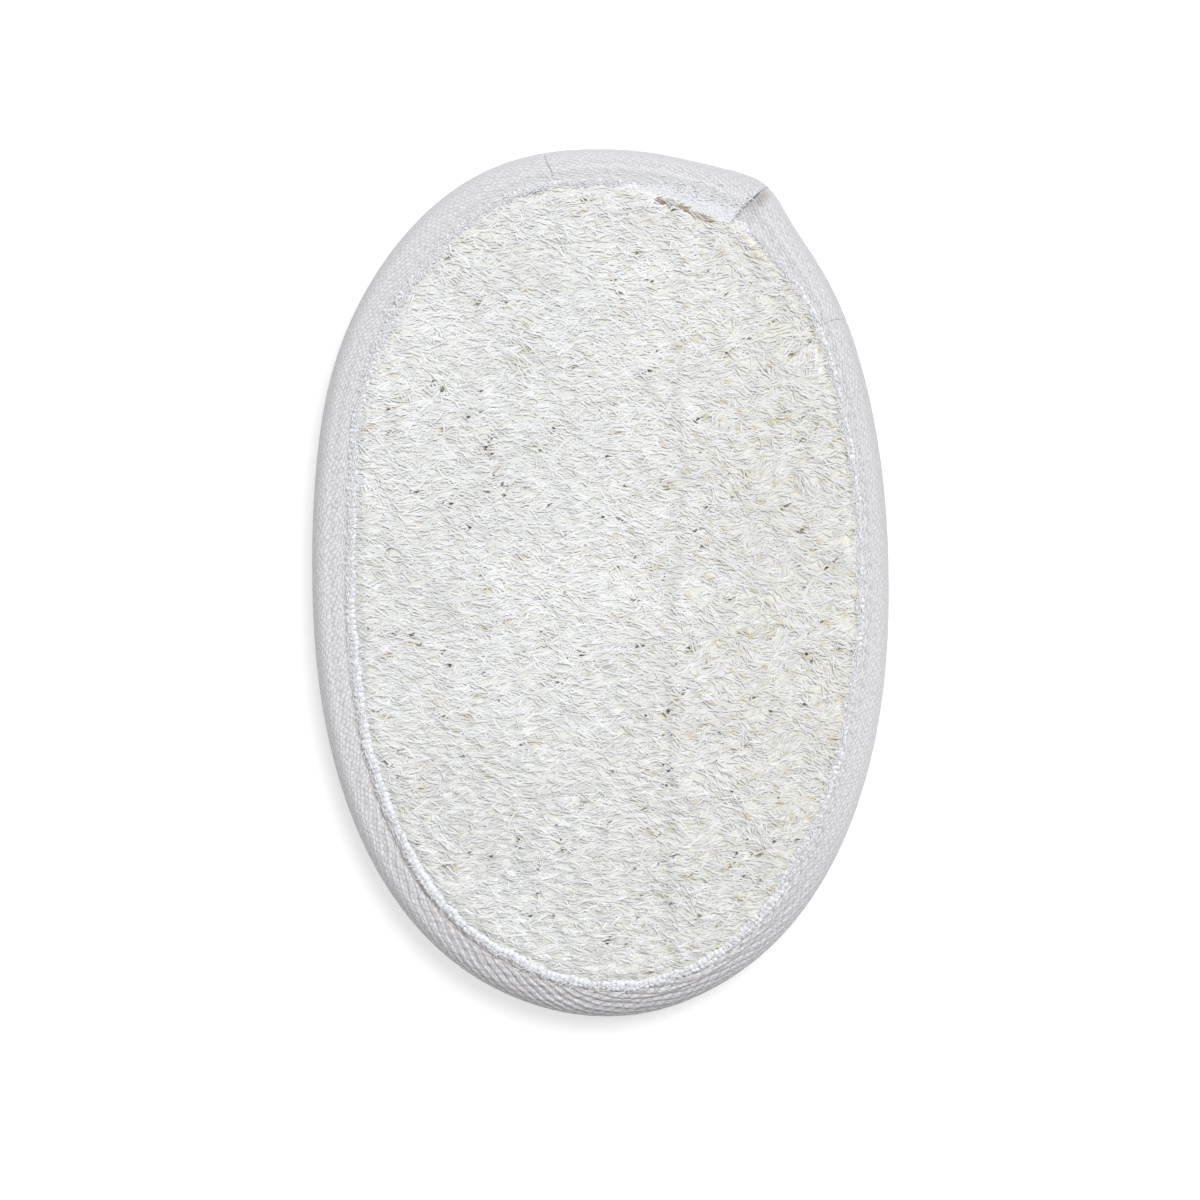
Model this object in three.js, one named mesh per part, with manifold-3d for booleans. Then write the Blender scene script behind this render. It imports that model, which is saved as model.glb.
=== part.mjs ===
// Oval bath pad of natural loofah, bound round its rim with a folded cotton tape.
// Millimetres, +Z up. The pad lies on its back: X is its width, Y its length, and the
// origin is in the middle of its footprint, on the surface that it rests on.
import * as THREE from 'three';
import { mergeVertices } from 'three/addons/utils/BufferGeometryUtils.js';
import Module from 'manifold-3d';

// Plan outline: a superellipse, turned slightly, with the few places where the rim swells.
const WIDTH = 100;
const LENGTH = 150;
const ROUNDNESS = 2.23;
const TURN = 0.8;
const SWELLS = [
  { at: 57, spread: 13, rise: 1.1 },
  { at: 67, spread: 3.6, rise: 1.3 },
  { at: 88, spread: 12, rise: -0.75 },
  { at: 140, spread: 12, rise: 0.8 },
  { at: 272, spread: 8, rise: 1.1 },
];
const OUTLINE_SAMPLES = 1440;
const NORMAL_STEP = 0.004;
const WELD = 1e-5;

// Binding tape: a C section, open towards the pad, with a round outer edge.
const TAPE = 0.9;
const RIM_HEIGHT = 7.8;
const MID = RIM_HEIGHT / 2;
const ROUND_REACH = 2.7;
const BAND = 7.0;
const BAND_SHIFT = 0.75;
const BAND_CHANGES = [
  { at: 72, spread: 7, rise: 1.9 },
  { at: 145, spread: 8, rise: -0.7 },
  { at: 283, spread: 8, rise: -0.9 },
  { at: 325, spread: 12, rise: 0.6 },
];
const BAND_RIPPLES = [
  { waves: 13, size: 0.16 },
  { waves: 29, size: 0.1 },
];
const FRONT_RISE = 0.35;
const BEAD = 0.66;
const STITCH_INSET = 2.2;
const GROOVE_REACH = 0.85;
const GROOVE_DEPTH = 0.95;
const TAPE_STEP = 4.8;

// Lap: the end of the tape lies over its start, cut on a slant, with raw edges.
const LAP_AT = 67;
const LAP_LENGTH = 22;
const LAP_STEP = TAPE + 0.32;
const LAP_RAMP = 6;
const LAP_CLEAR = 0.8;
const LAP_SLANT = 0.4;
const BEAD_RAMP = 5;

// Seam: a lock stitch, one thread on the front of the tape and one on its back.
const THREAD_RADIUS = 0.18;
const THREAD_GAP = 0.34;
const STITCH_LENGTH = 4.5;
const STITCH_SWING = 0.08;

// Loofah: pinched under the tape and crowned inside it, with its crosswise strands
// raised on both faces and a lengthwise rib on the front.
const PAD_INSET = 1.5;
const BACK_BLOCK_INSET = 2.1;
const ROW_END_INSET = 0.45;
const PAD_ROUND = 3;
const PAD_EDGE_HALF = 1;
const LAP_PINCH_RUN = 6;
const LAP_PINCH_CLEAR = 1.5;
const RISE_START = 1.2;
const RISE_END = 1.6;
const CROWN_START = 0.6;
const PINCH_TOP = 5.95;
const PINCH_BOTTOM = 2.15;
const EDGE_TOP = 7.2;
const CROWN_TOP = 10.1;
const CROWN_RUN = 9;
const CROWN_BOTTOM = 0.66;
const BACK_RUN = 6;
const SPLIT_LOW = 3.5;
const SPLIT_HIGH = 4.2;
const RIB_X = 13.6;
const RIB_HEIGHT = 0.55;
const RIB_WANDER = [
  { run: 19, size: 1.1 },
  { run: 7, size: 0.5 },
];
const RIB_ROOM = { left: 0.42, right: 0.72 };
const NET_START = 0.4;
const NET_FULL = 3.5;
const STRAND_DRIFT = 1.6;
const FRONT_NET = {
  columns: 26,
  strands: 50,
  wave: 11,
  sway: 0.32,
  ridge: 0.55,
  valley: 1.15,
  pit: 0.9,
  pitShare: 0.12,
};
const BACK_NET = {
  columns: 16,
  strands: 30,
  wave: 16,
  sway: 0.32,
  ridge: 0.25,
  valley: 0.95,
  pit: 0.6,
  pitShare: 0.1,
};
const NET_SEED = 4107;

const LOOFAH_LOOK = { color: 0xe9e7dc, roughness: 0.95, metalness: 0 };
const TAPE_LOOK = { color: 0xe8e8ec, roughness: 0.9, metalness: 0 };
const THREAD_LOOK = { color: 0xf4f4f6, roughness: 0.8, metalness: 0 };

const FULL_TURN = Math.PI * 2;
const radians = THREE.MathUtils.degToRad;
const { clamp, lerp, smoothstep } = THREE.MathUtils;

// A bell-shaped change round one direction of the rim; the angle is in radians.
function bell(angle, { at, spread, rise }) {
  const turn = angle - radians(at);
  const away = Math.atan2(Math.sin(turn), Math.cos(turn));
  return rise * Math.exp(-0.5 * (away / radians(spread)) ** 2);
}

function sumOf(changes, angle) {
  return changes.reduce((total, change) => total + bell(angle, change), 0);
}

function outlineRadius(angle) {
  const turned = angle - radians(TURN);
  const across = Math.abs(Math.cos(turned)) / (WIDTH / 2);
  const along = Math.abs(Math.sin(turned)) / (LENGTH / 2);
  const radius = (across ** ROUNDNESS + along ** ROUNDNESS) ** (-1 / ROUNDNESS);
  return radius + sumOf(SWELLS, angle);
}

// The outline as points, its centre, and the distance run along it at each point.
function sampleOutline() {
  const points = [];
  const angles = [];
  for (let i = 0; i <= OUTLINE_SAMPLES; i += 1) {
    const angle = radians(LAP_AT) + (FULL_TURN * i) / OUTLINE_SAMPLES;
    const radius = outlineRadius(angle);
    points.push(new THREE.Vector2(Math.cos(angle), Math.sin(angle)).multiplyScalar(radius));
    angles.push(angle);
  }
  const box = new THREE.Box2().setFromPoints(points);
  const centre = box.getCenter(new THREE.Vector2());
  const runs = [0];
  for (let i = 1; i <= OUTLINE_SAMPLES; i += 1) {
    runs.push(runs[i - 1] + points[i].distanceTo(points[i - 1]));
  }
  return { angles, centre, runs, length: runs[OUTLINE_SAMPLES] };
}

const outline = sampleOutline();

// The direction of the rim point that lies a given run along the rim from the lap's end.
function angleAtRun(run) {
  const turns = Math.floor(run / outline.length);
  const rest = run - turns * outline.length;
  let high = outline.runs.findIndex((value) => value >= rest);
  high = Math.max(high, 1);
  const share = (rest - outline.runs[high - 1]) / (outline.runs[high] - outline.runs[high - 1]);
  return lerp(outline.angles[high - 1], outline.angles[high], share) + turns * FULL_TURN;
}

function runAtAngle(angle) {
  const turn = THREE.MathUtils.euclideanModulo(angle - radians(LAP_AT), FULL_TURN);
  const place = (turn / FULL_TURN) * OUTLINE_SAMPLES;
  const low = Math.min(Math.floor(place), OUTLINE_SAMPLES - 1);
  return lerp(outline.runs[low], outline.runs[low + 1], place - low);
}

function rimPoint(angle) {
  const radius = outlineRadius(angle);
  return new THREE.Vector2(radius * Math.cos(angle), radius * Math.sin(angle)).sub(outline.centre);
}

function rimNormal(angle) {
  const ahead = rimPoint(angle + NORMAL_STEP);
  const tangent = ahead.sub(rimPoint(angle - NORMAL_STEP)).normalize();
  return new THREE.Vector2(tangent.y, -tangent.x);
}

// A point at a distance inside the rim, measured square to it.
function insidePoint(angle, inset) {
  return rimPoint(angle).addScaledVector(rimNormal(angle), -inset);
}

// Width of the tape's band, from the rim to its inner edge.
function bandWidth(angle) {
  const ripple = BAND_RIPPLES.reduce(
    (total, { waves, size }) => total + size * Math.sin(waves * angle + waves),
    0,
  );
  return BAND - BAND_SHIFT * Math.cos(angle) + sumOf(BAND_CHANGES, angle) + ripple;
}

function stitchInset(angle) {
  const plain = BAND_CHANGES.slice(1);
  return BAND - BAND_SHIFT * Math.cos(angle) + sumOf(plain, angle) - STITCH_INSET;
}

// Plain C section of the tape: X is the distance inside the rim, Y the height over mid.
function tapeSection() {
  const face = MID;
  const edge = BAND;
  const stitch = BAND - STITCH_INSET;
  const loop = [];
  const add = (inset, height) => loop.push(new THREE.Vector2(inset, height));
  const addBead = (centreHeight, from, to) => {
    for (let i = 0; i <= 3; i += 1) {
      const angle = radians(lerp(from, to, i / 3));
      add(edge - BEAD + BEAD * Math.cos(angle), centreHeight + BEAD * Math.sin(angle));
    }
  };
  const addRound = (reach, height, from, to, parts) => {
    for (let i = 0; i <= parts; i += 1) {
      const angle = radians(lerp(from, to, i / parts));
      add(ROUND_REACH - reach * Math.cos(angle), height * Math.sin(angle));
    }
  };
  addRound(ROUND_REACH, face, 90, -90, 6);
  add(stitch - GROOVE_REACH, -face);
  add(stitch, GROOVE_DEPTH - face);
  add(stitch + GROOVE_REACH, -face);
  addBead(BEAD - face, -90, 60);
  add(stitch, TAPE + GROOVE_DEPTH - face);
  addRound(ROUND_REACH - TAPE, face - TAPE, -90, 90, 3);
  add(stitch, face - TAPE - GROOVE_DEPTH);
  addBead(face - TAPE + BEAD, -75, 110);
  add(stitch + GROOVE_REACH, face);
  add(stitch, face - GROOVE_DEPTH);
  add(stitch - GROOVE_REACH, face);
  return new THREE.Shape(loop);
}

// How far the start of the tape is pressed in, at a run along the rim.
function tapeDepth(run) {
  return LAP_STEP * smoothstep(run, outline.length - LAP_RAMP, outline.length - LAP_CLEAR);
}

// How far the bead stands out: not at all where the raw ends of the tape lap.
function beadShare(run) {
  const leaving = smoothstep(run, LAP_LENGTH, LAP_LENGTH + BEAD_RAMP);
  const entering = smoothstep(outline.length - run, LAP_CLEAR, BEAD_RAMP);
  return Math.min(leaving, entering);
}

// Fits one point of the plain section to its place along the rim.
function fitSection(point, run) {
  const angle = angleAtRun(run);
  const under = run > outline.length - LAP_RAMP;
  const stitch = stitchInset(angle);
  const edge = under ? stitch + STITCH_INSET : bandWidth(angle);
  const plainStitch = BAND - STITCH_INSET;
  let inset = point.x;
  let height = point.y;
  if (inset > plainStitch + GROOVE_REACH) {
    const past = inset - plainStitch - GROOVE_REACH;
    const stretch = (edge - stitch - GROOVE_REACH) / (STITCH_INSET - GROOVE_REACH);
    inset = stitch + GROOVE_REACH + past * stretch;
    height = flattenBead(height, beadShare(run));
  } else if (inset > ROUND_REACH) {
    const reach = plainStitch - GROOVE_REACH - ROUND_REACH;
    const share = Math.min((inset - ROUND_REACH) / reach, 1);
    inset += share * (stitch - plainStitch);
  }
  if (point.y > 0) {
    height += FRONT_RISE * smoothstep(point.x, ROUND_REACH, plainStitch - GROOVE_REACH);
  }
  const fromRound = new THREE.Vector2(Math.min(inset - ROUND_REACH, 0), height);
  fromRound.setLength(fromRound.length() - tapeDepth(run));
  return { inset: fromRound.x + Math.max(inset, ROUND_REACH), height: fromRound.y };
}

function flattenBead(height, share) {
  const squash = lerp(TAPE / (2 * BEAD), 1, share);
  if (height > 0) {
    const floor = MID - TAPE;
    return floor + (height - floor) * squash;
  }
  return -MID + (height + MID) * squash;
}

function makeTape() {
  const total = outline.length + LAP_LENGTH;
  const steps = Math.round(total / TAPE_STEP);
  const strip = new THREE.ExtrudeGeometry(tapeSection(), { depth: total, steps, bevelEnabled: false });
  const geometry = welded(strip);
  reshape(geometry, (point) => {
    const { inset, height } = fitSection(point, point.z);
    const slant = LAP_SLANT * (1 - smoothstep(point.z, 0, TAPE_STEP * 2));
    const place = insidePoint(angleAtRun(point.z + slant * inset), inset);
    return [place.x, place.y, MID + height];
  });
  return geometry;
}

// Position-only copy of a geometry with its shared corners joined.
function welded(source) {
  const geometry = source.clone();
  geometry.deleteAttribute('normal');
  geometry.deleteAttribute('uv');
  return mergeVertices(geometry, WELD);
}

function reshape(geometry, move) {
  const places = geometry.getAttribute('position');
  const point = new THREE.Vector3();
  for (let i = 0; i < places.count; i += 1) {
    point.fromBufferAttribute(places, i);
    places.setXYZ(i, ...move(point));
  }
}

// How far the thread steps down past the lap's end, where the tape lies lower.
function threadDrop(run) {
  const past = outline.length - run;
  return tapeDepth(run) * smoothstep(past, LAP_CLEAR / 2, LAP_CLEAR * 3);
}

// One thread of the seam: a ring that rises and dips once in each stitch.
function makeThread(onFront) {
  const stitches = Math.round(outline.length / STITCH_LENGTH);
  const ring = new THREE.TorusGeometry(1, THREAD_RADIUS, 4, stitches * 2);
  const geometry = welded(ring);
  const side = onFront ? 1 : -1;
  const groove = MID - GROOVE_DEPTH + (onFront ? FRONT_RISE : 0);
  const level = groove + THREAD_RADIUS + THREAD_GAP + STITCH_SWING / 2;
  reshape(geometry, (point) => {
    const share = THREE.MathUtils.euclideanModulo(Math.atan2(point.y, point.x), FULL_TURN) / FULL_TURN;
    const run = share * outline.length;
    const out = Math.hypot(point.x, point.y) - 1;
    const swing = Math.round(share * stitches * 2) % 2 ? STITCH_SWING : -STITCH_SWING;
    const angle = angleAtRun(run);
    const place = insidePoint(angle, stitchInset(angle) - out);
    const height = side * (level + swing / 2 - threadDrop(run));
    return [place.x, place.y, MID + height + point.z];
  });
  return geometry;
}

// Repeatable random numbers from 0 to 1.
function seededRandom(seed) {
  let state = seed;
  return () => {
    state = (state + 0x6d2b79f5) | 0;
    let mixed = Math.imul(state ^ (state >>> 15), 1 | state);
    mixed = (mixed + Math.imul(mixed ^ (mixed >>> 7), 61 | mixed)) ^ mixed;
    return ((mixed ^ (mixed >>> 14)) >>> 0) / 4294967296;
  };
}

// Where a point of the plan lies: its direction, and its distance inside the rim.
function placeInPlan(x, y) {
  const angle = Math.atan2(y + outline.centre.y, x + outline.centre.x);
  const offset = rimPoint(angle).sub(new THREE.Vector2(x, y));
  return { angle, inset: offset.dot(rimNormal(angle)) };
}

// How far the loofah gives way under the doubled tape of the lap.
function lapPinch(angle) {
  const run = runAtAngle(angle);
  const pastStart = run - LAP_LENGTH - LAP_PINCH_CLEAR;
  const beforeEnd = outline.length - run - LAP_RAMP - LAP_PINCH_CLEAR;
  return LAP_STEP * (1 - smoothstep(Math.min(pastStart, beforeEnd), 0, LAP_PINCH_RUN));
}

// Height of the front face without its net.
function frontHeight(angle, inset) {
  const edge = Math.max(bandWidth(angle), stitchInset(angle) + STITCH_INSET);
  const pinch = lapPinch(angle);
  const round = clamp((inset - PAD_INSET) / PAD_ROUND, 0, 1);
  const held = lerp(MID + PAD_EDGE_HALF, PINCH_TOP, round) - (pinch * (1 + round)) / 2;
  const rising = lerp(held, EDGE_TOP, smoothstep(inset, edge - RISE_START, edge + RISE_END));
  const inside = Math.max(inset - edge - CROWN_START, 0);
  return rising + (CROWN_TOP - rising) * (1 - Math.exp(-inside / CROWN_RUN));
}

function backHeight(angle, inset) {
  const edge = stitchInset(angle) + STITCH_INSET;
  const pinch = lapPinch(angle);
  const round = clamp((inset - PAD_INSET) / PAD_ROUND, 0, 1);
  const held = lerp(MID - PAD_EDGE_HALF, PINCH_BOTTOM, round) + (pinch * (1 + round)) / 2;
  const inside = Math.max(inset - edge - CROWN_START, 0);
  return held + (CROWN_BOTTOM - held) * (1 - Math.exp(-inside / BACK_RUN));
}

function ribX(y) {
  return RIB_WANDER.reduce((x, { run, size }) => x + size * Math.sin(y / run), RIB_X);
}

// The left or right end of a crosswise row, on the pad's own outline.
function rowEnd(rim, y, side) {
  for (let i = 1; i < rim.length; i += 1) {
    const low = rim[i - 1];
    const high = rim[i];
    const crosses = (low.y - y) * (high.y - y) <= 0 && low.y !== high.y;
    if (crosses && Math.sign(low.x) === side) {
      return lerp(low.x, high.x, (y - low.y) / (high.y - low.y));
    }
  }
  return 0;
}

// One side of the pad: a block whose outer face carries the raised net. Its rows are the
// strands and the hollows between them. Neighbouring strands sway in turn apart and
// together, so that they close round lens-shaped cells.
function makeNetBlock(net, inset, flatHeight, faceHeight, side, random) {
  const rows = net.strands * 2;
  const rim = outline.angles.map((angle) => insidePoint(angle, inset + lapPinch(angle)));
  const top = Math.max(...rim.map((point) => point.y)) - ROW_END_INSET;
  const bottom = Math.min(...rim.map((point) => point.y)) + ROW_END_INSET;
  const pitch = (top - bottom) / net.strands;
  const ribColumn = Math.round(net.columns * (0.5 + RIB_X / WIDTH));
  const drift = Array.from({ length: net.strands + 2 }, () => (random() - 0.5) * STRAND_DRIFT);
  const rough = Array.from({ length: (rows + 1) * (net.columns + 1) }, () => random());
  const sway = (strand, x) =>
    net.sway * pitch * Math.sin((FULL_TURN * x) / net.wave + Math.PI * strand + drift[strand]);
  const geometry = welded(new THREE.BoxGeometry(1, 1, 1, net.columns, rows, 1));
  reshape(geometry, (point) => {
    const column = Math.round((point.x + 0.5) * net.columns);
    const row = Math.round((point.y + 0.5) * rows);
    const plainY = lerp(bottom, top, row / rows);
    const left = rowEnd(rim, plainY, -1);
    const right = rowEnd(rim, plainY, 1);
    const middle = clamp(
      ribX(plainY),
      lerp(left, right, RIB_ROOM.left),
      lerp(left, right, RIB_ROOM.right),
    );
    const x = column < ribColumn
      ? lerp(left, middle, column / ribColumn)
      : lerp(middle, right, (column - ribColumn) / (net.columns - ribColumn));
    const plain = placeInPlan(x, plainY);
    const past = plain.inset - bandWidth(plain.angle);
    const open = smoothstep(past, NET_START, NET_FULL);
    const strand = row >> 1;
    const isStrand = row % 2 === 0;
    const low = sway(strand, x);
    const high = isStrand ? low : sway(strand + 1, x);
    const y = plainY + open * (isStrand ? low : (low + high) / 2);
    if (Math.sign(point.z) !== side) {
      return [x, plainY, flatHeight];
    }
    const chance = rough[row * (net.columns + 1) + column];
    const gap = clamp(0.5 + (high - low) / (4 * net.sway * pitch), 0, 1);
    let relief = isStrand ? net.ridge * (0.5 + chance) : -net.valley * gap;
    if (!isStrand && chance < net.pitShare) {
      relief -= net.pit;
    }
    if (column === ribColumn && side > 0) {
      relief = RIB_HEIGHT * (0.5 + chance);
    }
    const place = placeInPlan(x, y);
    return [x, y, faceHeight(place.angle, place.inset) + side * open * relief];
  });
  return geometry;
}

// The whole pad, one grown and pressed piece: its two faces joined at mid-thickness.
async function makeLoofah() {
  const wasm = await Module();
  wasm.setup();
  const random = seededRandom(NET_SEED);
  const front = makeNetBlock(FRONT_NET, PAD_INSET, SPLIT_LOW, frontHeight, 1, random);
  const back = makeNetBlock(BACK_NET, BACK_BLOCK_INSET, SPLIT_HIGH, backHeight, -1, random);
  const joined = toSolid(wasm, front).add(toSolid(wasm, back));
  return fromSolid(joined);
}

function toSolid(wasm, geometry) {
  const mesh = new wasm.Mesh({
    numProp: 3,
    vertProperties: Float32Array.from(geometry.getAttribute('position').array),
    triVerts: Uint32Array.from(geometry.getIndex().array),
  });
  return new wasm.Manifold(mesh);
}

function fromSolid(solid) {
  const mesh = solid.getMesh();
  const geometry = new THREE.BufferGeometry();
  geometry.setAttribute('position', new THREE.BufferAttribute(mesh.vertProperties, 3));
  geometry.setIndex(new THREE.BufferAttribute(mesh.triVerts, 1));
  return geometry;
}

function addPart(group, name, geometry, look) {
  geometry.computeVertexNormals();
  const mesh = new THREE.Mesh(geometry, new THREE.MeshStandardMaterial(look));
  mesh.name = name;
  group.add(mesh);
}

const loofahBathPad = new THREE.Group();
addPart(loofahBathPad, 'loofah_pad', await makeLoofah(), LOOFAH_LOOK);
addPart(loofahBathPad, 'binding_tape', makeTape(), TAPE_LOOK);
addPart(loofahBathPad, 'seam_thread_front', makeThread(true), THREAD_LOOK);
addPart(loofahBathPad, 'seam_thread_back', makeThread(false), THREAD_LOOK);

export default loofahBathPad;
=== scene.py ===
import math

import bpy
import numpy as np
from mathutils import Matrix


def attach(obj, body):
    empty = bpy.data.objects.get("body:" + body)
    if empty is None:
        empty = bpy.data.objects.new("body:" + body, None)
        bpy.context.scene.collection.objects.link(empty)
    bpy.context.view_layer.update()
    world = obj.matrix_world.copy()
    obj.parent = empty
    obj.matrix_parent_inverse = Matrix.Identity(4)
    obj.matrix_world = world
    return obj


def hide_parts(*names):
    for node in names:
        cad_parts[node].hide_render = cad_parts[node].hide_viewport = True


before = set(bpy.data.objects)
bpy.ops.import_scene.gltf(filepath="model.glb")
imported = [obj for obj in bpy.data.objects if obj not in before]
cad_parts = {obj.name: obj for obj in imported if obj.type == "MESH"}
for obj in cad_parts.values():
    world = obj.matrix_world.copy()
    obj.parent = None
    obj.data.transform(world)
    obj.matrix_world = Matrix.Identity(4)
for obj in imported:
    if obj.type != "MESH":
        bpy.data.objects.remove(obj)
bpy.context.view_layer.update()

# Oval loofah bath pad with a cotton binding. Sizes are in millimetres until a mesh is made.
MM = 0.001
FULL_TURN = 2 * math.pi

# The photograph's frame: its size, its scale, and where the pad's middle lies in it.
PHOTO_SIZE = 1200
PIXELS_PER_MM = 5.79
PAD_MIDDLE_PX = (600.5, 582.5)

# What the pieces are made of and stand for: the slot of their material, and the node.
LOOFAH = ("loofah_fibre", "loofah_pad")
COTTON = ("cotton_tape", "binding_tape")

# Outline and tape, as in the solids.
WIDTH = 100
LENGTH = 150
ROUNDNESS = 2.23
TURN = 0.8
SWELLS = [(57, 13, 1.1), (67, 3.6, 1.3), (88, 12, -0.75), (140, 12, 0.8), (272, 8, 1.1)]
OUTLINE_SAMPLES = 2880
TAPE = 0.9
MID = 3.9
ROUND_REACH = 2.7
BAND = 7.0
BAND_SHIFT = 0.75
BAND_CHANGES = [(72, 7, 1.9), (145, 8, -0.7), (283, 8, -0.9), (325, 12, 0.6)]
BAND_RIPPLES = [(13, 0.16), (29, 0.1)]
FRONT_RISE = 0.35
BEAD = 0.66
STITCH_INSET = 2.2
GROOVE_REACH = 0.85
GROOVE_DEPTH = 0.95
LAP_AT = 67
LAP_LENGTH = 22
LAP_STEP = TAPE + 0.32
LAP_RAMP = 6
LAP_CLEAR = 0.8
LAP_SLANT = 0.4

# Loofah, as in the solids.
PAD_INSET = 1.5
PAD_ROUND = 3
PINCH_TOP = 5.95
PINCH_BOTTOM = 2.15
EDGE_TOP = 7.2
CROWN_TOP = 10.1
CROWN_RUN = 9
CROWN_BOTTOM = 0.66
BACK_RUN = 6
RISE_START = 1.2
RISE_END = 1.6
CROWN_START = 0.6
RIB_X = 13.6
RIB_WANDER = [(19, 1.1), (7, 0.5)]

# Fine surface.
TAPE_STEP = 0.46
TWILL_PITCH = 1.12
TWILL_SLOPE = math.radians(15)
TWILL_HEIGHT = 0.26
GRAIN_ROW = 0.52
GRAIN_LONG = 1.05
GRAIN_SHIFT = 0.42
GRAIN_STRAY = 1.1
ROPE_LONG = 1.9
ROPE_LEAN = 0.9
CREASE_HALF = 0.42
CREASE_DEPTH = 0.36
BACK_CREASE = 0.5
FOLD_ROUND = 1.1
FOLD_REACH = 0.1
KNIT_PITCH = 0.95
STITCH_LENGTH = 3.0
BED_STEP = (0.9, 0.8)
FIBRE_WIDTH = (0.26, 0.56)
FINE_WIDTH = (0.18, 0.4)
FIBRE_FLATNESS = 0.125
EDGE_FLUFF = 2.1
EDGE_FLUFF_RUN = 5
TUFT_HEIGHT = 0.058
SWELL_HEIGHT = 0.15
RIB_HEIGHT = 0.26
BACK_FIBRES = 2000
GAP_FIBRES = 150
FRAY_WISPS = 1800
FUZZ_WISPS = 1500
THREAD_WIDTH = 0.32
HAIR_WIDTH = 0.14
HAIR_STEPS = 13

# Changes round the rim, each as direction and spread in degrees, and size.
CORNER_SWELLS = [(70, 4.6, 1.2), (67, 1.8, 0.3)]
SEAM_PULL = [(236, 26, 1.0)]
RIB_STRENGTH = [(272, 26, 0.95)]
RIB_SWING = [(268, 10, 3.4)]
ROPE_STRENGTH = [(272, 24, 0.95)]
# Painted shade on the tape's outer roll and top, more on its upper right, where the lamp lights it
# most.
PAINTED_SHADE_ON_ROLL = [(45, 52, 0.46)]
PAINTED_SHADE_ON_TOP = [(60, 60, 0.07)]
# Painted shade in the seam's crease round the rim, most at the lower left.
PAINTED_SEAM_SHADE = [(236, 20, 0.7), (180, 25, 0.06), (320, 30, 0.08)]
WORN_CLOTH = [(100, 28, 0.3)]
WORN_LAP = [(77, 6, 0.6)]
PLUMP_KNIT = [(245, 48, 1.0)]

# The front's layers of fibres, from the bed up: name, seed, count, lift, spread of their headings
# in radians, shortest and longest, thinnest and widest, how tan, and points to a fibre.
FIBRE_LAYERS = [
    ("loofah_fibres_deep", 21, 5200, -0.08, 0.42, (3.5, 7.5), FIBRE_WIDTH, 0.22, 5),
    ("loofah_fibres_low", 22, 5400, -0.04, 0.4, (2, 5.2), FIBRE_WIDTH, 0.1, 5),
    ("loofah_fibres_mid", 23, 6000, 0.0, 0.42, (1.3, 3.6), FINE_WIDTH, 0.03, 4),
    ("loofah_fibres_top", 24, 6000, 0.05, 0.5, (1, 3), FINE_WIDTH, 0.0, 4),
]

# Rows of the knitted edge: how far in, length across the rim, lean along it, width and lift.
KNIT_FRONT = ((0.55, 1.05, 0.75, 1.15, 0.0), (1.15, 0.7, -0.5, 1.05, -0.12))
KNIT_BACK = ((0.6, 0.9, 0.4, 0.9, 0.0),)

# The holes of the mat, in the photograph's pixels: a few that stand out, each with its
# half-height in millimetres. Many smaller ones are scattered by a seeded draw.
NAMED_HOLES = [
    (479, 305, 0.3), (434, 382, 0.26), (443, 392, 0.24), (482, 392, 0.24), (554, 429, 0.26),
    (487, 448, 0.3), (652, 283, 0.28), (620, 294, 0.26), (649, 372, 0.42), (726, 354, 0.24),
    (791, 355, 0.28), (697, 420, 0.36), (800, 441, 0.26), (452, 504, 0.24), (489, 492, 0.26),
    (505, 496, 0.24), (471, 528, 0.3), (445, 650, 0.28), (581, 655, 0.24), (412, 635, 0.28),
    (445, 715, 0.26), (624, 486, 0.24), (696, 530, 0.26), (701, 546, 0.24), (635, 557, 0.3),
    (634, 600, 0.26), (689, 648, 0.28), (801, 530, 0.26), (806, 654, 0.26), (668, 711, 0.3),
    (663, 734, 0.28), (671, 734, 0.26), (668, 770, 0.3), (666, 784, 0.26), (644, 807, 0.24),
    (674, 854, 0.26), (759, 854, 0.26), (796, 839, 0.24), (607, 942, 0.28), (650, 971, 0.26),
]
SCATTERED_HOLES = 130
POCKETS = 100
HOLE_REACH = 1.5

# Two stray hairs on the tape, each as four of the photograph's pixels.
STRAY_HAIRS = {
    "stray_hair_top": [(545, 155), (547, 163), (551, 170), (553, 176)],
    "stray_hair_right": [(810, 328), (820, 325), (833, 320), (846, 318)],
}

# Colours of the materials.
FIBRE_PALE = (0.745, 0.755, 0.765)
FIBRE_GREY = (0.6, 0.61, 0.612)
FIBRE_TAN = (0.57, 0.525, 0.405)
FIBRE_BROWN = (0.36, 0.24, 0.13)
BED_PALE = (0.68, 0.675, 0.63)
BED_TAN = (0.62, 0.52, 0.33)
# Colour of the painted shade in the holes and under the lap's raw edge.
BED_PAINTED_SHADE = (0.06, 0.035, 0.018)
COTTON_WHITE = (0.661, 0.661, 0.683)
COTTON_SHADE = (0.45, 0.445, 0.462)
# Colour of the painted shade on the tape's outer roll.
RIM_PAINTED_SHADE = (0.34, 0.33, 0.345)
# Colour of the painted shade in the valleys between the tape's ribs.
VALLEY_SHADE_BROWN = (0.26, 0.225, 0.225)
# Colour of the painted shade in the seam's crease and under the lap's fold.
CREASE_SHADE_BROWN = (0.3, 0.235, 0.205)
KNIT_WHITE = (0.72, 0.733, 0.765)
KNIT_SHADE = (0.695, 0.705, 0.73)
FRAY_WHITE = (0.715, 0.727, 0.755)
FRAY_SHADE = (0.695, 0.705, 0.73)
THREAD_WHITE = (0.69, 0.685, 0.69)
THREAD_SHADE = (0.56, 0.55, 0.555)
HAIR_GREY = (0.48, 0.47, 0.46)
SPECK_BLACK = (0.03, 0.026, 0.022)
SPECK_BROWN = (0.3, 0.22, 0.13)

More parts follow.
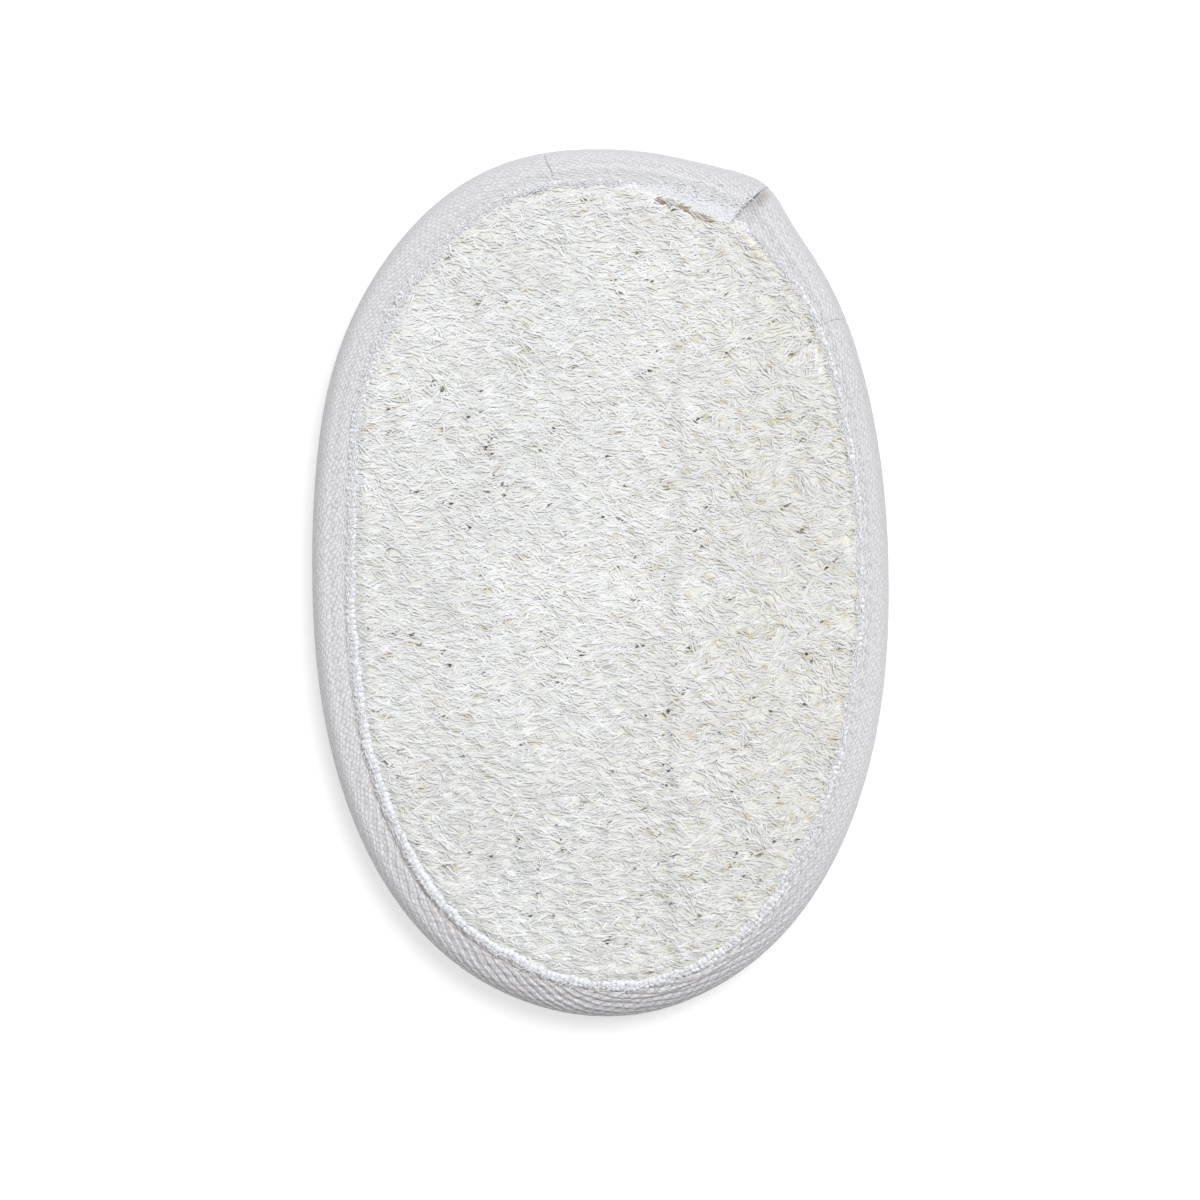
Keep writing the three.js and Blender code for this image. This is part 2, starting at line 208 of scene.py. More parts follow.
# Camera, lamp, sky and floor.
CAMERA_LENS = 100
SENSOR = 36
FOCUS_HEIGHT = 7
KEY_STRENGTH = 2.8
KEY_SOFTNESS = math.radians(42)
KEY_ELEVATION = math.radians(50)
KEY_BEARING = math.radians(34)
WORLD_STRENGTH = 0.605
FLOOR_WHITE = 0.53
FLOOR_GLOW = 0.5
FLOOR_REACH = 2.0


def smooth(value, low, high):
    """Rises softly from 0 at low to 1 at high."""
    share = np.clip((value - low) / (high - low), 0, 1)
    return share * share * (3 - 2 * share)


def mix(low, high, share):
    """The value that lies a share of the way from low to high."""
    return low + (high - low) * share


def hump(away, reach):
    """A bell-shaped rise: 1 in the middle, a third at its reach."""
    return np.exp(-((away / reach) ** 2))


def fade(past, reach):
    """Falls off from 1 past an edge, to a third at its reach."""
    return np.exp(-np.maximum(past, 0) / reach)


def bells(angle, changes):
    """Sum of bell-shaped changes round the rim: direction and spread in degrees, and rise."""
    total = np.zeros_like(angle)
    for at, spread, rise in changes:
        away = np.angle(np.exp(1j * (angle - math.radians(at))))
        total = total + rise * np.exp(-0.5 * (away / math.radians(spread)) ** 2)
    return total


def outline_radius(angle):
    """The outline's distance from the middle: a rounded oval with its swells."""
    turned = angle - math.radians(TURN)
    across = np.abs(np.cos(turned)) / (WIDTH / 2)
    along = np.abs(np.sin(turned)) / (LENGTH / 2)
    return (across**ROUNDNESS + along**ROUNDNESS) ** (-1 / ROUNDNESS) + bells(angle, SWELLS)


class Rim:
    """The pad's outline, with the distance run along it from the end of the tape."""

    def __init__(self):
        self.angles = math.radians(LAP_AT) + np.linspace(0, FULL_TURN, OUTLINE_SAMPLES + 1)
        radius = outline_radius(self.angles)
        points = np.stack([radius * np.cos(self.angles), radius * np.sin(self.angles)], 1)
        self.centre = (points.max(0) + points.min(0)) / 2
        steps = np.linalg.norm(np.diff(points, axis=0), axis=1)
        self.runs = np.concatenate([[0], np.cumsum(steps)])
        self.length = self.runs[-1]

    def angle_at(self, run):
        turns = np.floor(run / self.length)
        return np.interp(run - turns * self.length, self.runs, self.angles) + turns * FULL_TURN

    def run_at(self, angle):
        turned = (angle - math.radians(LAP_AT)) % FULL_TURN + math.radians(LAP_AT)
        return np.interp(turned, self.angles, self.runs)

    def point(self, angle):
        radius = outline_radius(angle)
        x = radius * np.cos(angle) - self.centre[0]
        y = radius * np.sin(angle) - self.centre[1]
        return x, y

    def normal(self, angle):
        step = 0.004
        ahead = self.point(angle + step)
        behind = self.point(angle - step)
        tangent_x = ahead[0] - behind[0]
        tangent_y = ahead[1] - behind[1]
        size = np.hypot(tangent_x, tangent_y)
        return tangent_y / size, -tangent_x / size

    def inside(self, angle, inset):
        x, y = self.point(angle)
        normal_x, normal_y = self.normal(angle)
        return x - normal_x * inset, y - normal_y * inset

    def place(self, x, y):
        """Direction of a point of the plan, and its distance inside the rim."""
        angle = np.arctan2(y + self.centre[1], x + self.centre[0])
        rim_x, rim_y = self.point(angle)
        normal_x, normal_y = self.normal(angle)
        return angle, (rim_x - x) * normal_x + (rim_y - y) * normal_y


rim = Rim()


def stitch_inset(angle):
    """How far inside the rim the seam runs."""
    return BAND - BAND_SHIFT * np.cos(angle) + bells(angle, BAND_CHANGES[1:]) - STITCH_INSET


def band_width(angle):
    """Width of the tape on the front."""
    width = BAND - BAND_SHIFT * np.cos(angle) + bells(angle, BAND_CHANGES)
    for waves, size in BAND_RIPPLES:
        width = width + size * np.sin(waves * angle + waves)
    return width


def tape_edge(angle, run):
    """How far inside the rim the tape ends; the under layer of the lap is narrower."""
    under = smooth(run, rim.length + 2, rim.length + 5)
    return mix(band_width(angle), stitch_inset(angle) + STITCH_INSET, under)


def tape_depth(run):
    """How far the tape's start is pressed down to pass under the lap."""
    return LAP_STEP * smooth(run, rim.length - LAP_RAMP * 0.7, rim.length - LAP_CLEAR * 0.4)


def fold_depth(run):
    """How far the lap's turned-in end rounds down."""
    share = np.clip(1 - (run + FOLD_REACH) / FOLD_ROUND, 0, 1)
    return TAPE * (1 - np.sqrt(1 - share * share))


def lap_pinch(angle):
    """How much thinner the mat is pressed under the lap."""
    run = rim.run_at(angle)
    past_start = run - LAP_LENGTH - 1.5
    before_end = rim.length - run - LAP_RAMP - 1.5
    return LAP_STEP * (1 - smooth(np.minimum(past_start, before_end), 0, 6))


def held_height(angle, inset, at_rim, under_tape, pinched):
    """Height of the mat's face as the tape holds it, thinner still under the lap."""
    turn = np.clip((inset - PAD_INSET) / PAD_ROUND, 0, 1)
    return mix(at_rim, under_tape, turn) - pinched * lap_pinch(angle) * (1 + turn) / 2


def crown_share(inset, edge, reach):
    """How far the mat has swelled out of the tape's hold."""
    return 1 - fade(inset - edge - CROWN_START, reach)


def front_height(angle, inset):
    """Height of the mat's plain front."""
    edge = np.maximum(band_width(angle), stitch_inset(angle) + STITCH_INSET)
    held = held_height(angle, inset, MID + 1, PINCH_TOP, 1)
    rising = mix(held, EDGE_TOP, smooth(inset, edge - RISE_START, edge + RISE_END))
    return mix(rising, CROWN_TOP, crown_share(inset, edge, CROWN_RUN))


def back_height(angle, inset):
    """Height of the mat's plain back."""
    edge = stitch_inset(angle) + STITCH_INSET
    held = held_height(angle, inset, MID - 1, PINCH_BOTTOM, -1)
    return mix(held, CROWN_BOTTOM, crown_share(inset, edge, BACK_RUN))


def rib_x(y):
    """Where the mat's lengthwise rib lies."""
    return RIB_X + sum(size * np.sin(y / run) for run, size in RIB_WANDER)


def from_photo(pixel_x, pixel_y):
    """A pixel of the photograph as a point of the pad's plan."""
    x = (pixel_x - PAD_MIDDLE_PX[0]) / PIXELS_PER_MM
    y = (PAD_MIDDLE_PX[1] - pixel_y) / PIXELS_PER_MM
    return x, y


def make_noise(seed, size, count=14):
    """Smooth seeded noise of the plan, about -1 to 1, with features of one size."""
    rng = np.random.default_rng(seed)
    heading = rng.uniform(0, FULL_TURN, count)
    wave = FULL_TURN / (size * rng.uniform(1.2, 2.6, count))
    shift = rng.uniform(0, FULL_TURN, count)

    def noise(x, y):
        total = np.zeros(np.broadcast(x, y).shape)
        for angle, number, phase in zip(heading, wave, shift):
            total = total + np.sin((x * math.cos(angle) + y * math.sin(angle)) * number + phase)
        return total * math.sqrt(2 / count) / 1.6

    return noise


def new_mesh(name, points, faces, attributes, uv=None, smooth_faces=True):
    """A mesh from points in millimetres and faces of one size."""
    mesh = bpy.data.meshes.new(name)
    corners = faces.shape[1]
    mesh.vertices.add(len(points))
    mesh.vertices.foreach_set("co", (points * MM).astype(np.float32).ravel())
    mesh.loops.add(faces.size)
    mesh.loops.foreach_set("vertex_index", faces.astype(np.int32).ravel())
    mesh.polygons.add(len(faces))
    mesh.polygons.foreach_set("loop_start", np.arange(0, faces.size, corners, dtype=np.int32))
    mesh.polygons.foreach_set("use_smooth", np.full(len(faces), smooth_faces))
    for label, values in attributes.items():
        made = mesh.attributes.new(label, "FLOAT", "POINT")
        made.data.foreach_set("value", np.asarray(values, dtype=np.float32).ravel())
    if uv is not None:
        layer = mesh.uv_layers.new(name="OFBake")
        layer.uv.foreach_set("vector", uv[faces.ravel()].astype(np.float32).ravel())
    mesh.update(calc_edges=True)
    mesh.validate()
    piece = bpy.data.objects.new(name, mesh)
    bpy.context.scene.collection.objects.link(piece)
    return piece


def dress(piece, material, slot, *nodes):
    """Gives a piece its material and body and hides the nodes that it replaces; its slot is not used.
    """
    piece.data.materials.append(material)
    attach(piece, "root")
    if nodes:
        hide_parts(*nodes)


def make_tubes(paths, widths, heights, sides, up):
    """Tapered tubes along many paths at once. paths is tube, step, axis; up is 1 or -1."""
    count, steps, _ = paths.shape
    ahead = np.gradient(paths, axis=1)
    ahead /= np.linalg.norm(ahead, axis=2, keepdims=True) + 1e-9
    across = np.cross(ahead, np.array([0.0, 0.0, up]))
    across /= np.linalg.norm(across, axis=2, keepdims=True) + 1e-9
    over = np.cross(across, ahead)
    start = math.pi / 2 if sides == 3 else math.pi / sides
    rings = []
    for side in range(sides):
        angle = start + FULL_TURN * side / sides
        out = across * (widths * math.cos(angle) / 2)[..., None]
        rings.append(paths + out + over * (heights * math.sin(angle) / 2)[..., None])
    points = np.stack(rings, 2).reshape(-1, 3)
    tube = np.arange(count)[:, None, None] * steps * sides
    step = np.arange(steps - 1)[None, :, None] * sides
    side = np.arange(sides)[None, None, :]
    turn = (side + 1) % sides
    ring = tube + step
    corners = [ring + side, ring + turn, ring + sides + turn, ring + sides + side]
    return points, np.stack(corners, -1).reshape(-1, 4), tube.ravel()


def cap_faces(first, steps, sides):
    """The two end faces of each tube, each with as many corners as the tube has sides."""
    near = first[:, None] + np.arange(sides)[None, ::-1]
    far = first[:, None] + (steps - 1) * sides + np.arange(sides)[None, :]
    return np.concatenate([near, far])


def tube_piece(name, paths, widths, heights, attributes, material, kind, sides=3, up=1.0):
    """One dressed piece of many closed tubes, in triangles."""
    count, steps, _ = paths.shape
    points, quads, first = make_tubes(paths, widths, heights, sides, up)
    triangles = [quads[:, [0, 1, 2]], quads[:, [0, 2, 3]]]
    caps = cap_faces(first, steps, sides)
    triangles += [caps[:, [0, i, i + 1]] for i in range(1, sides - 1)]
    spread = {}
    for label, values in attributes.items():
        each = np.broadcast_to(np.reshape(values, (count, -1)), (count, steps))
        spread[label] = np.repeat(each.ravel(), sides)
    layout = strip_map(count, steps, sides)
    piece = new_mesh(name, points, np.concatenate(triangles), spread, layout, sides > 3)
    dress(piece, material, *kind)


def strip_map(count, steps, sides):
    """A texture map that gives each tube a small strip of its own."""
    columns = math.ceil(math.sqrt(count / 3))
    rows = math.ceil(count / columns)
    tube = np.arange(count)
    left = (tube % columns)[:, None, None]
    low = (tube // columns)[:, None, None]
    along = np.linspace(0.12, 0.88, steps)[None, :, None]
    side = np.linspace(0.15, 0.85, sides)[None, None, :]
    u = (left + along + side * 0) / columns
    v = (low + side + along * 0) / rows
    return np.stack([u, v], -1).reshape(-1, 2)


def draw_in_mat(rng, count, margin):
    """Seeded points of the plan that lie inside the tape by a margin."""
    x = rng.uniform(-WIDTH / 2, WIDTH / 2, count * 4)
    y = rng.uniform(-LENGTH / 2, LENGTH / 2, count * 4)
    angle, inset = rim.place(x, y)
    kept = inset > band_width(angle) + margin
    return x[kept][:count], y[kept][:count]


def make_holes():
    """Each hole: its place, half its height, and how dark its painted shade is; a pocket is only tan.
    """
    rng = np.random.default_rng(311)
    x, y = draw_in_mat(rng, SCATTERED_HOLES, 1.0)
    small = np.stack([x, y, rng.uniform(0.06, 0.17, len(x)), rng.uniform(0.4, 0.75, len(x))], 1)
    x, y = draw_in_mat(rng, POCKETS, 0.8)
    pockets = np.stack([x, y, rng.uniform(0.12, 0.3, len(x)), np.zeros(len(x))], 1)
    named = np.array([(*from_photo(px, py), 0.62 * half, 0.8) for px, py, half in NAMED_HOLES])
    return np.concatenate([named, small, pockets])


holes = make_holes()
flow_noise = make_noise(11, 7)
wild_noise = make_noise(12, 4)
bed_noise = make_noise(13, 3)
fine_noise = make_noise(14, 1.1)
band_noise = make_noise(15, 22)
fleck_noise = make_noise(16, 1.3, 24)
clump_noise = make_noise(17, 1.15, 26)


def clumps(x, y):
    """Small tufts, longer across the pad than along it, about -1 to 1."""
    return clump_noise(0.55 * x, 1.3 * y)


def lumps(x, y):
    """Relief of the mat's front over its plain form: swells, tufts and the rib."""
    tufts = TUFT_HEIGHT * (1 + 1.2 * smooth(-y, -10, 40)) * clumps(x, y)
    rib = RIB_HEIGHT * hump(x - rib_x(y), 1.2)
    return SWELL_HEIGHT * bed_noise(x, y) + tufts + rib


def fibre_heading(x, y):
    """Angle of the fibres to the pad's width: steady at the left, wild past the rib."""
    right = smooth(x, rib_x(y) - 1, rib_x(y) + 7)
    low_right = right * smooth(-y, 25, 50)
    sway = mix(0.2, 0.42, right) + 0.25 * low_right
    heading = sway * flow_noise(x, y) + mix(0.1, 0.4, right) * wild_noise(x, y)
    return heading - 0.22 * hump(x - rib_x(y), 1.5)


def part_round_holes(x, y):
    """Moves fibre points apart above and below each hole, as a lens-shaped cell."""
    for hole_x, hole_y, half, _ in holes:
        near = (np.abs(x - hole_x) < HOLE_REACH * 2) & (np.abs(y - hole_y) < HOLE_REACH)
        across = x[near] - hole_x
        away = y[near] - hole_y
        half_here = (half + 0.2) * hump(across, half * 1.6)
        side = np.where(away >= 0, 1.0, -1.0)
        parted = mix(np.abs(away), np.hypot(away, half_here), hump(away, half * 3 + 0.3))
        y[near] = hole_y + side * parted
    return y


def hole_shares(x, y):
    """How far each point lies in a dark hole, and in a tan pocket."""
    pit = np.zeros_like(x)
    tan = np.zeros_like(x)
    for hole_x, hole_y, half, dark in holes:
        wide = half * 1.5 + 0.3 if dark else half * 2 + 0.5
        share = hump(x - hole_x, wide) * hump(y - hole_y, half + 0.27)
        if dark:
            pit = np.maximum(pit, share * dark)
        else:
            tan = np.maximum(tan, share)
    return pit, tan


def tan_share(x, y):
    """How tan the mat is by its holes, its pockets and the tape."""
    pit, tan = hole_shares(x, y)
    angle, inset = rim.place(x, y)
    by_tape = fade(inset - band_width(angle), 1.6)
    at_right = np.clip(np.cos(angle) + 0.4, 0.1, 1)
    return np.clip(0.35 * pit + 0.9 * tan + 0.15 * by_tape * at_right, 0, 1)


def edge_fluff(angle, inset):
    """The mat's rise against the tape's edge, over the pressed form under it."""
    from_edge = inset - band_width(angle)
    by_lap = 1.0 * lap_pinch(angle) / LAP_STEP * (1 - smooth(from_edge, 0, RISE_END))
    over_knit = 0.6 * smooth(-from_edge, -0.1, 0.5) * np.clip(np.cos(angle) + 0.2, 0, 1)
    return EDGE_FLUFF * fade(from_edge, EDGE_FLUFF_RUN) + by_lap + over_knit


def lap_gap_share(angle, inset):
    """The strip where the lap's raw edge stands off the mat."""
    run = rim.run_at(angle)
    along = smooth(run, 3, 11) * (1 - smooth(run, 16, 21)) * (0.8 + 0.3 * np.sin(run * 1.9))
    return along * hump(inset - band_width(angle) - 0.35, 0.55)


def fibre_plan(rng, count, turn, steps, length):
    """Seeded fibres in the plan, which follow the mat's flow and part round its holes."""
    x, y = draw_in_mat(rng, count, -1.2)
    count = len(x)
    long = rng.uniform(*length, count)
    own = rng.normal(0, turn, count)
    curl = rng.uniform(0.05, 0.5, count)
    wave = rng.uniform(2.4, 6.0, count)
    phase = rng.uniform(0, FULL_TURN, count)
    step = long / (steps - 1)
    heading = fibre_heading(x, y) + own
    xs = [x - np.cos(heading) * long / 2]
    ys = [y - np.sin(heading) * long / 2]
    for i in range(1, steps):
        bend = curl * np.sin(FULL_TURN * step * i / wave + phase)
        heading = fibre_heading(xs[-1], ys[-1]) + own + bend
        xs.append(xs[-1] + np.cos(heading) * step)
        ys.append(ys[-1] + np.sin(heading) * step)
    x = np.stack(xs, 1)
    return x, part_round_holes(x, np.stack(ys, 1))


def lay_fibres(rng, x, y, lift):
    """Lays fibres of the plan on the mat's front, with their ends sunk into it."""
    count, steps = x.shape
    angle, inset = rim.place(x, y)
    share = np.linspace(0, 1, steps)[None, :]
    sink = 0.15 * (1 - np.sin(math.pi * share) ** 0.6)
    open_share = smooth(inset - band_width(angle), -1.4, -0.7)
    bump = rng.uniform(-0.03, 0.03, count)[:, None] * mix(1.2, 2.3, smooth(-y, 0, 60))
    rise = lift + lumps(x, y) + bump - sink
    rise = rise - 1.1 * lap_gap_share(angle, inset) + edge_fluff(angle, inset)
    z = front_height(angle, inset) + open_share * rise - 0.3 * (1 - open_share)
    return np.stack([x, y, z], -1)


def fibre_sizes(rng, count, steps, thick):
    """Widths and heights of flat fibres that taper to both ends."""
    share = np.linspace(0, 1, steps)[None, :]
    taper = 0.35 + 0.65 * np.sin(math.pi * share) ** 0.5
    width = rng.uniform(*thick, count)[:, None] * taper
    return width, width * FIBRE_FLATNESS


def fibre_shade(rng, x, y):
    """How pale each fibre is: greyer low on the pad and at the right, with painted shade beside the
    rib.
    """
    low = smooth(-y, 0, 60)
    # Painted shade along the rib's left side, away from the lamp.
    shade_beside_rib = hump(x - rib_x(y) + 0.8, 0.7)
    tone = 0.12 * band_noise(x, y) + 0.12 * flow_noise(y, x)
    tone = tone - 0.4 * shade_beside_rib * smooth(-y, -40, 0) - 0.3 * low - 0.22 * smooth(x, 10, 35)
    tone = tone + 0.2 * mix(0.8, 1.5, low) * clumps(x, y)
    return np.clip(0.6 + rng.normal(0, 1, len(x)) * mix(0.16, 0.3, low) + tone, 0, 1)


def fibre_warmth(rng, paths, tan):
    """How tan each point of each fibre is: by the holes, in flecks, and more at the right."""
    count, steps, _ = paths.shape
    x = paths[..., 0]
    y = paths[..., 1]
    right = smooth(x[:, steps // 2], -10, 30)
    warm = tan_share(x, y) * rng.uniform(0.3, 0.9, count)[:, None]
    flecks = smooth(fleck_noise(x, y), 0.75, 1.35) * mix(0.3, 1.0, right)[:, None]
    own = tan * mix(0.35, 1, right) + 0.09 * right * rng.uniform(0, 1, count)
    return np.clip(warm + flecks + own[:, None], 0, 1)


def make_fibres(name, seed, count, lift, turn, length, thick, tan, steps, material):
    """One layer of fibres on the mat's front."""
    rng = np.random.default_rng(seed)
    x, y = fibre_plan(rng, count, turn, steps, length)
    paths = lay_fibres(rng, x, y, lift)
    width, height = fibre_sizes(rng, len(x), steps, thick)
    shade = fibre_shade(rng, x[:, steps // 2], y[:, steps // 2])
    values = {"shade": shade, "warm": fibre_warmth(rng, paths, tan)}
    tube_piece(name, paths, width, height, values, material, LOOFAH)


def grid_faces(columns, rows, first=0, flip=False):
    """Quads of a grid of points stored row by row."""
    column, row = np.meshgrid(np.arange(columns - 1), np.arange(rows - 1))
    corner = (first + row * columns + column).ravel()
    quads = np.stack([corner, corner + 1, corner + columns + 1, corner + columns], 1)
    return quads[:, ::-1] if flip else quads


def bed_plan(columns, rows):
    """A grid spread over the mat's whole plan, and which of its points lie on the rim."""
    u, v = np.meshgrid(np.linspace(-1, 1, columns), np.linspace(-1, 1, rows))
    disc_x = u * np.sqrt(1 - v * v / 2)
    disc_y = v * np.sqrt(1 - u * u / 2)
    angle = np.arctan2(disc_y * LENGTH, disc_x * WIDTH)
    size = np.hypot(disc_x, disc_y)
    rim_x, rim_y = rim.inside(angle, PAD_INSET + 0.1 + lap_pinch(angle))
    return rim_x * size, rim_y * size, (np.abs(u) == 1) | (np.abs(v) == 1)


def grid_border(columns, rows):
    """The points round a grid's border, in order."""
    return np.concatenate([
        np.arange(columns),
        np.arange(1, rows) * columns + columns - 1,
        (rows - 1) * columns + np.arange(columns - 2, -1, -1),
        np.arange(rows - 2, 0, -1) * columns,
    ])


def make_bed(material):
    """The matted ground of the pad, front, back and rim, under the loose fibres."""
    columns = 2 * round(WIDTH / 2 / BED_STEP[0]) + 1
    rows = 2 * round(LENGTH / 2 / BED_STEP[1]) + 1
    x, y, on_rim = bed_plan(columns, rows)
    angle, inset = rim.place(x, y)
    open_share = smooth(inset - band_width(angle), -1.4, -0.5)
    pits, pockets = hole_shares(x, y)
    gap = lap_gap_share(angle, inset)
    drop = 0.19 + 1.0 * pits + 0.2 * pockets + 1.2 * gap
    lump = lumps(x, y) + 0.08 * fine_noise(x, y) + edge_fluff(angle, inset)
    top = front_height(angle, inset) + open_share * (lump - drop) - 0.4 * (1 - open_share)
    bottom = back_height(angle, inset) + open_share * (0.25 * bed_noise(y, x) + 0.45)
    top = np.where(on_rim, MID + 0.6, top)
    low = np.where(on_rim, MID - 0.6, np.minimum(bottom, MID - 0.6))
    points = np.concatenate([np.stack([x, y, z], -1).reshape(-1, 3) for z in (top, low)])
    first = columns * rows
    ring = grid_border(columns, rows)
    after = np.roll(ring, -1)
    side = np.stack([ring + first, after + first, after, ring], 1)
    faces = [grid_faces(columns, rows), grid_faces(columns, rows, first, True), side]
    # Painted shade on the ground in the holes and under the lap's raw edge.
    painted_pit_shade = np.concatenate([np.maximum(pits, 0.75 * gap).ravel(), np.zeros(first)])
    values = {"pit": painted_pit_shade, "warm": np.tile(tan_share(x.ravel(), y.ravel()), 2)}
    piece = new_mesh("loofah_bed", points, np.concatenate(faces), values)
    dress(piece, material, *LOOFAH)


def draw_out(x, y, heading, reach):
    """Lines through points of the plan, each by its heading and its reaches to both sides."""
    return x[:, None] + np.cos(heading) * reach, y[:, None] + np.sin(heading) * reach


def make_specks(material):
    """Bits of dark rind left in the holes of the net."""
    rng = np.random.default_rng(41)
    x, y, half, _ = holes[holes[:, 3] > 0].T
    count = len(x)
    heading = rng.normal(0.2, 0.5, count)[:, None]
    long = (1.9 * half + rng.uniform(0.1, 0.35, count))[:, None]
    x, y = draw_out(x, y, heading, np.linspace(-0.5, 0.5, 3) * long)
    place = rim.place(x, y)
    z = front_height(*place) + edge_fluff(*place) + lumps(x, y) + 0.21
    paths = np.stack([x, y, z], -1)
    width = (0.12 + 1.05 * half)[:, None] * np.array([0.55, 1.0, 0.5])
    values = {"shade": rng.uniform(0, 1, count) ** 2}
    tube_piece("rind_specks", paths, width, width * 0.3, values, material, LOOFAH)


def make_back_fibres(material):
    """A coarser net of crosswise fibres on the back."""
    rng = np.random.default_rng(52)
    steps = 5
    x, y = draw_in_mat(rng, BACK_FIBRES, -0.8)
    count = len(x)
    long = rng.uniform(5, 11, count)
    own = rng.normal(0, 0.3, count)
    share = np.linspace(-0.5, 0.5, steps)[None, :]
    heading = (0.3 * flow_noise(-x, y) + own)[:, None] + 0.25 * np.sin(share * 9 + y[:, None])
    x, y = draw_out(x, y, heading, share * long[:, None])
    angle, inset = rim.place(x, y)
    arch = np.cos(math.pi * share) ** 0.6
    open_share = smooth(inset - band_width(angle), -0.6, 1.6)
    bump = rng.uniform(-0.1, 0.2, count)[:, None]
    lift = 0.06 + bump + 0.6 * (1 - arch)
    z = back_height(angle, inset) + open_share * lift + 0.4 * (1 - open_share)
    z = np.maximum(z, 0.35)
    paths = np.stack([x, y, z], -1)
    width, height = fibre_sizes(rng, count, steps, FIBRE_WIDTH)
    shade = np.clip(rng.normal(0.5, 0.22, count), 0, 1)
    warm = rng.uniform(0, 0.3, count)
    values = {"shade": shade, "warm": warm}
    width = width * 1.15
    tube_piece("loofah_fibres_back", paths, width, height, values, material, LOOFAH, up=-1.0)


def arc(centre, radius, angles):
    """Points of an arc of the section, from angles in degrees."""
    radians = [math.radians(angle) for angle in angles]
    return [(centre[0] + radius * math.cos(a), centre[1] + radius * math.sin(a)) for a in radians]


def roll(reach, rise, angles):
    """Points of the tape's roll round the rim, from angles in degrees."""
    radians = [math.radians(angle) for angle in angles]
    return [(ROUND_REACH - reach * math.cos(a), rise * math.sin(a)) for a in radians]


def section_points():
    """The tape's plain section as a closed loop: inset, height over mid, and the
    distance across the cloth from the front's inner edge, or 0 on the hidden side."""
    stitch = BAND - STITCH_INSET
    bead = BAND - BEAD
    shoulder = stitch + GROOVE_REACH
    front = arc((bead, MID - TAPE + BEAD), BEAD, np.linspace(0, 110, 4))
    front += [(inset, MID) for inset in np.linspace(shoulder, ROUND_REACH, 20)[1:]]
    front += roll(ROUND_REACH, MID, np.linspace(90, 0, 17)[1:])
    front += roll(ROUND_REACH, MID, np.linspace(0, -90, 8)[1:])
    front += [(inset, -MID) for inset in np.linspace(ROUND_REACH, shoulder, 14)[1:]]
    front += arc((bead, BEAD - MID), BEAD, np.linspace(-90, 60, 4))
    hidden = [(stitch, TAPE + GROOVE_DEPTH - MID)]
    hidden += roll(ROUND_REACH - TAPE, MID - TAPE, np.linspace(-90, 90, 6))
    hidden += [(stitch, MID - TAPE - GROOVE_DEPTH), (BAND - BEAD * 0.8, MID - TAPE)]
    shown = np.array(front)
    across = np.concatenate([[0], np.cumsum(np.linalg.norm(np.diff(shown, axis=0), axis=1))])
    loop = np.concatenate([shown, np.array(hidden)])
    return loop, np.concatenate([across, np.zeros(len(hidden))]), len(shown)


def seam_depth(angle):
    """Depth of the seam's crease on the front: deepest at the lower left."""
    return CREASE_DEPTH * (0.14 + bells(angle, SEAM_PULL))


def crease(from_stitch):
    """Shape of the seam's crease in the cloth across the stitches, 0 to 1."""
    return smooth(-np.abs(from_stitch), -CREASE_HALF, 0)


def rib_strength(angle):
    """How far the cloth's ribs stand out: most at the pad's lower end."""
    return 0.16 + bells(angle, RIB_STRENGTH)


def rim_painted_shade(angle, inset, height):
    """Share of painted shade on the tape's outer roll: a dark line all round its outer edge, and more
    on its upper right, where the lamp lights it most.
    """
    turned = np.where(height > 0, np.clip(1 - inset / ROUND_REACH, 0, 1), 1)
    upper_right = bells(angle, PAINTED_SHADE_ON_ROLL) * smooth(turned, 0, 0.75) + bells(angle, PAINTED_SHADE_ON_TOP)
    return upper_right + 0.75 * smooth(turned, 0.93, 1)


def twill_row(run, across, angle):
    """Distance over the cloth's slanted ribs; at the lower end their slant swings."""
    swing = bells(angle, RIB_SWING)
    wander = 0.1 * np.sin(run / 3.1) + 0.07 * np.sin(run / 1.3 + across * 1.7)
    return across * math.cos(TWILL_SLOPE) - run * math.sin(TWILL_SLOPE) - swing + wander


def bead_share(run):
    """How full the knitted edge is: it ends at the lap on both sides."""
    leaving = smooth(run, LAP_LENGTH, LAP_LENGTH + 5)
    entering = smooth(rim.length - run, LAP_CLEAR, 5)
    return np.minimum(leaving, entering)


def fit_section(inset, height, run):
    """Fits points of the plain section to their places along the rim."""
    angle = rim.angle_at(run)
    stitch = stitch_inset(angle)
    edge = tape_edge(angle, run)
    plain = BAND - STITCH_INSET
    shoulder = plain + GROOVE_REACH
    stretch = (edge - stitch - GROOVE_REACH) / (STITCH_INSET - GROOVE_REACH)
    far = stitch + GROOVE_REACH + (inset - shoulder) * stretch
    share = np.clip((inset - ROUND_REACH) / (plain - GROOVE_REACH - ROUND_REACH), 0, 1)
    near = inset + share * (stitch - plain)
    placed = np.where(inset > shoulder, far, near)
    squash = mix(TAPE / (2 * BEAD), 1, bead_share(run))
    front_bead = MID - TAPE + (height - MID + TAPE) * squash
    back_bead = -MID + (height + MID) * squash
    bead = np.where(height > 0, front_bead, back_bead)
    raised = np.where(inset > shoulder, bead, height)
    rise = FRONT_RISE * smooth(inset, ROUND_REACH, plain - GROOVE_REACH)
    raised = np.where(height > 0, raised + rise, raised)
    out = np.minimum(placed - ROUND_REACH, 0)
    size = np.hypot(out, raised)
    rolled = smooth(inset, 0.8, 5.5)
    beside = 1 - smooth(run, rim.length + 0.5, rim.length + 1)
    depth = tape_depth(run) * mix(1, mix(0.05, 1, rolled), beside) + 0.4 * fold_depth(run) * rolled
    keep = (size - depth) / size
    return out * keep + np.maximum(placed, ROUND_REACH), raised * keep


